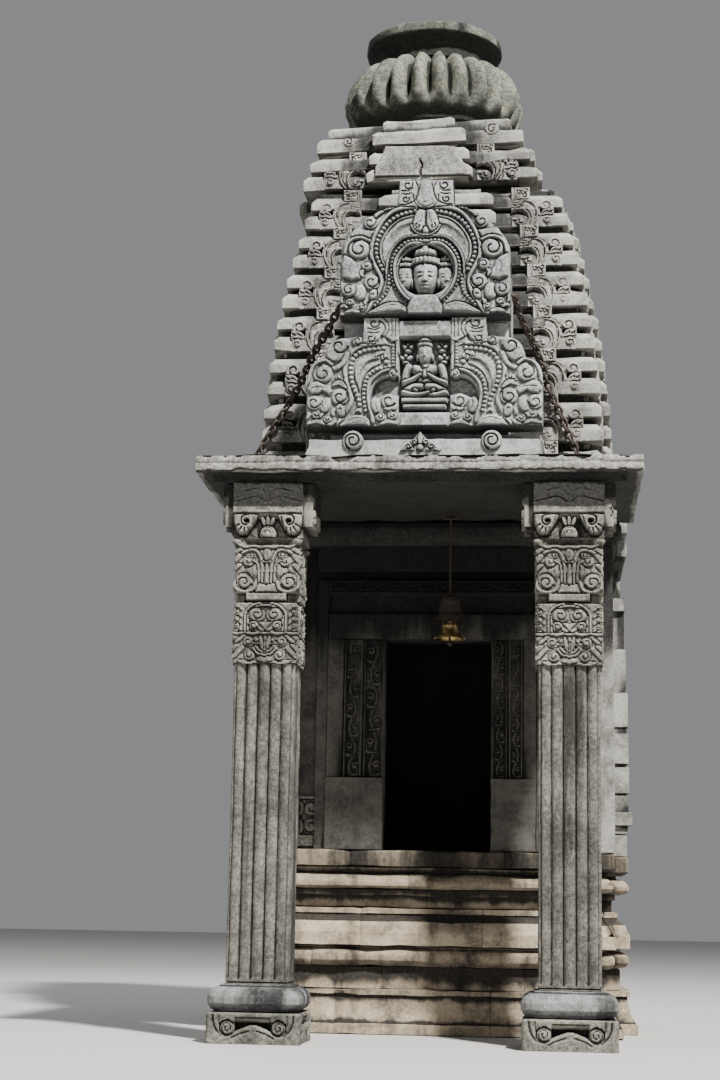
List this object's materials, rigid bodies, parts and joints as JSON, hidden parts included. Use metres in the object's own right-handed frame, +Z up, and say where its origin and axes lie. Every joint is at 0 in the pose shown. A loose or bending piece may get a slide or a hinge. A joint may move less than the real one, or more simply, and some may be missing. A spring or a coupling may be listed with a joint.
{
  "type": "hindu temple",
  "caption": "Small stone hill shrine: a square sanctum on a moulded base under a curved, stepped tower with a ribbed crown, and a porch slab on fluted pillars before the door.",
  "frame": {"origin": "on the ground, in the middle of the whole footprint", "axes": "+X to the viewer's right when facing the door, +Y from the porch towards the back wall, +Z up"},
  "size_m": [1.958, 2.795, 5.145],
  "materials": {
    "grey_stone": "weathered grey schist, matt, with lichen and dark streaks",
    "pillar_stone": "weathered brownish grey schist, matt",
    "panel_stone": "fine blue-grey schist, matt, carved",
    "base_stone": "buff and grey stone with black water stains",
    "dark_stone": "stone darkened by smoke and oil, matt",
    "mossy_stone": "grey stone with pale green lichen",
    "iron": "rusted wrought iron",
    "brass": "tarnished brass"
  },
  "bodies": {
    "shrine": {"plinth": "base_stone", "plinth_band": "dark_stone", "round_moulding": "base_stone", "pot_moulding": "base_stone", "recess_band": "dark_stone", "eave_moulding": "base_stone", "floor_slab": "base_stone", "right_wall": "grey_stone", "left_wall": "grey_stone", "back_wall": "grey_stone", "front_wall_left": "dark_stone", "front_wall_right": "dark_stone", "front_wall_top": "dark_stone", "left_door_jamb": "dark_stone", "right_door_jamb": "dark_stone", "door_lintel": "dark_stone", "right_niche": "grey_stone", "back_niche": "grey_stone", "left_niche": "grey_stone", "eave_course": "grey_stone", "porch_roof": "grey_stone", "roof_course": "grey_stone", "tower_sill": "grey_stone", "tower_course_1": "grey_stone", "tower_course_2": "grey_stone", "tower_course_3": "grey_stone", "tower_course_4": "grey_stone", "tower_course_5": "grey_stone", "tower_course_6": "grey_stone", "tower_course_7": "grey_stone", "crown_course": "grey_stone", "skandha_slab": "grey_stone", "summit_neck": "grey_stone", "amalaka": "mossy_stone", "cap_disc": "mossy_stone", "panel_ledge": "panel_stone", "lower_panel": "panel_stone", "upper_panel": "panel_stone", "left_pedestal": "pillar_stone", "left_cushion": "pillar_stone", "left_shaft": "pillar_stone", "left_pillar_head": "pillar_stone", "left_capital": "pillar_stone", "right_pedestal": "pillar_stone", "right_cushion": "pillar_stone", "right_shaft": "pillar_stone", "right_pillar_head": "pillar_stone", "right_capital": "pillar_stone", "left_chain": "iron", "right_chain": "iron", "bell_staple": "iron"},
    "bell": {"bell_rod": "iron", "iron_bell": "iron", "brass_bell": "brass"}
  },
  "joints": [
    {"name": "bell_swing", "type": "hinge", "parent": "shrine", "child": "bell", "pos_m": [0.112, -0.6915, 2.33], "axis": [1, 0, 0], "range_deg": [-20, 20]}
  ]
}
